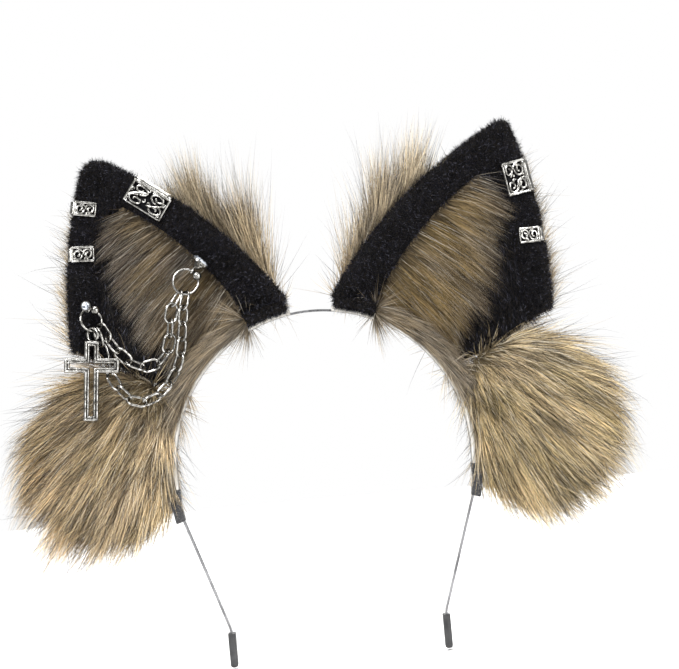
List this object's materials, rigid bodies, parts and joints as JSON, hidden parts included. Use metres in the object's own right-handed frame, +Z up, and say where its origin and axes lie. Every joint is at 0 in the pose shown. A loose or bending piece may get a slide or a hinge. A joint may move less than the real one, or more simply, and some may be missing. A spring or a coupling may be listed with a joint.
{
  "type": "animal ears headband",
  "caption": "Spring-steel hair hoop with two cupped furry wolf ears, round side fur puffs, filigree ear cuffs and a hanging chain with a cross pendant.",
  "frame": {"origin": "centre of the hoop's circle, midway across the band's width", "axes": "+Z up, towards the ears' tips; the front faces -Y; +X is to the right as seen from the front"},
  "size_m": [0.2616, 0.0423, 0.2284],
  "materials": {
    "spring_steel": "bright drawn spring steel",
    "cap_rubber": "satin black rubber",
    "sleeve_plastic": "shrunk black tube",
    "wrap_fabric": "pale knitted backing",
    "felt": "pressed felt",
    "ear_wire": "flat forming wire",
    "black_plush": "short-pile plush",
    "tan_fur": "long-pile fur with dark tips",
    "pale_fur": "long wispy pile",
    "stuffing": "polyester fibre",
    "crystal": "clear faceted glass",
    "clutch_plastic": "soft clear plastic",
    "silver_alloy": "antiqued silver plating"
  },
  "bodies": {
    "root": {"cuff_large_left": "silver_alloy", "cuff_large_right": "silver_alloy", "cuff_small_lower_left": "silver_alloy", "cuff_small_right": "silver_alloy", "cuff_small_upper_left": "silver_alloy", "ear_back_fur_left": "tan_fur", "ear_back_fur_right": "tan_fur", "ear_back_tuft_left": "pale_fur", "ear_back_tuft_right": "pale_fur", "ear_base_left": "felt", "ear_base_right": "felt", "ear_border_left": "black_plush", "ear_border_right": "black_plush", "ear_core_left": "felt", "ear_core_right": "felt", "ear_fluff_left": "tan_fur", "ear_fluff_right": "tan_fur", "ear_lining_left": "black_plush", "ear_lining_right": "black_plush", "ear_wire_left": "ear_wire", "ear_wire_right": "ear_wire", "hoop_crown": "spring_steel", "hoop_wrap_left": "wrap_fabric", "hoop_wrap_right": "wrap_fabric", "lower_clutch": "clutch_plastic", "lower_gem": "crystal", "lower_stud": "silver_alloy", "puff_core_left": "stuffing", "puff_core_right": "stuffing", "puff_fur_left": "tan_fur", "puff_fur_right": "tan_fur", "shrink_sleeve_left": "sleeve_plastic", "shrink_sleeve_right": "sleeve_plastic", "upper_clutch": "clutch_plastic", "upper_gem": "crystal", "upper_stud": "silver_alloy"},
    "leg_left": {"leg_left": "spring_steel", "tip_cap_left": "cap_rubber"},
    "leg_right": {"leg_right": "spring_steel", "tip_cap_right": "cap_rubber"},
    "upper_ring": {"upper_ring": "silver_alloy", "upper_bead": "silver_alloy"},
    "lower_ring": {"lower_ring": "silver_alloy", "lower_bead": "silver_alloy"},
    "chain_short": {"chain_short": "silver_alloy"},
    "chain_long": {"chain_long": "silver_alloy"},
    "cross": {"cross_pendant": "silver_alloy"}
  },
  "joints": [
    {"name": "leg_right_flex", "type": "hinge", "parent": "root", "child": "leg_right", "pos_m": [0.06364, 0, -0.02251], "axis": [0, -1, 0], "range_deg": [-4, 20], "stiffness_Nm_per_rad": 0.27},
    {"name": "leg_left_flex", "type": "hinge", "parent": "root", "child": "leg_left", "pos_m": [-0.06364, 0, -0.02251], "axis": [0, 1, 0], "range_deg": [-4, 20], "stiffness_Nm_per_rad": 0.27},
    {"name": "upper_ring_swing", "type": "hinge", "parent": "root", "child": "upper_ring", "pos_m": [-0.04968, -0.00739, 0.08683], "axis": [-0.9644, -0.0706, -0.2548], "range_deg": [0, 35]},
    {"name": "lower_ring_swing", "type": "hinge", "parent": "root", "child": "lower_ring", "pos_m": [-0.09654, -0.01082, 0.07445], "axis": [-0.9644, -0.0706, -0.2548], "range_deg": [0, 35]},
    {"name": "short_strand_swing", "type": "hinge", "parent": "upper_ring", "child": "chain_short", "pos_m": [-0.05571, -0.00868, 0.07765], "axis": [-0.9506, -0.035, -0.3083], "range_deg": [0, 8]},
    {"name": "long_strand_swing", "type": "hinge", "parent": "upper_ring", "child": "chain_long", "pos_m": [-0.05349, -0.00877, 0.07702], "axis": [-0.9522, -0.0746, -0.2961], "range_deg": [0, 2]},
    {"name": "cross_swing", "type": "hinge", "parent": "lower_ring", "child": "cross", "pos_m": [-0.09495, -0.01317, 0.06458], "axis": [-0.8085, -0.5644, 0.1669], "range_deg": [0, 20]}
  ],
  "couplings": [
    {"joint": "lower_ring_swing", "follows": "upper_ring_swing", "ratio": 1}
  ]
}
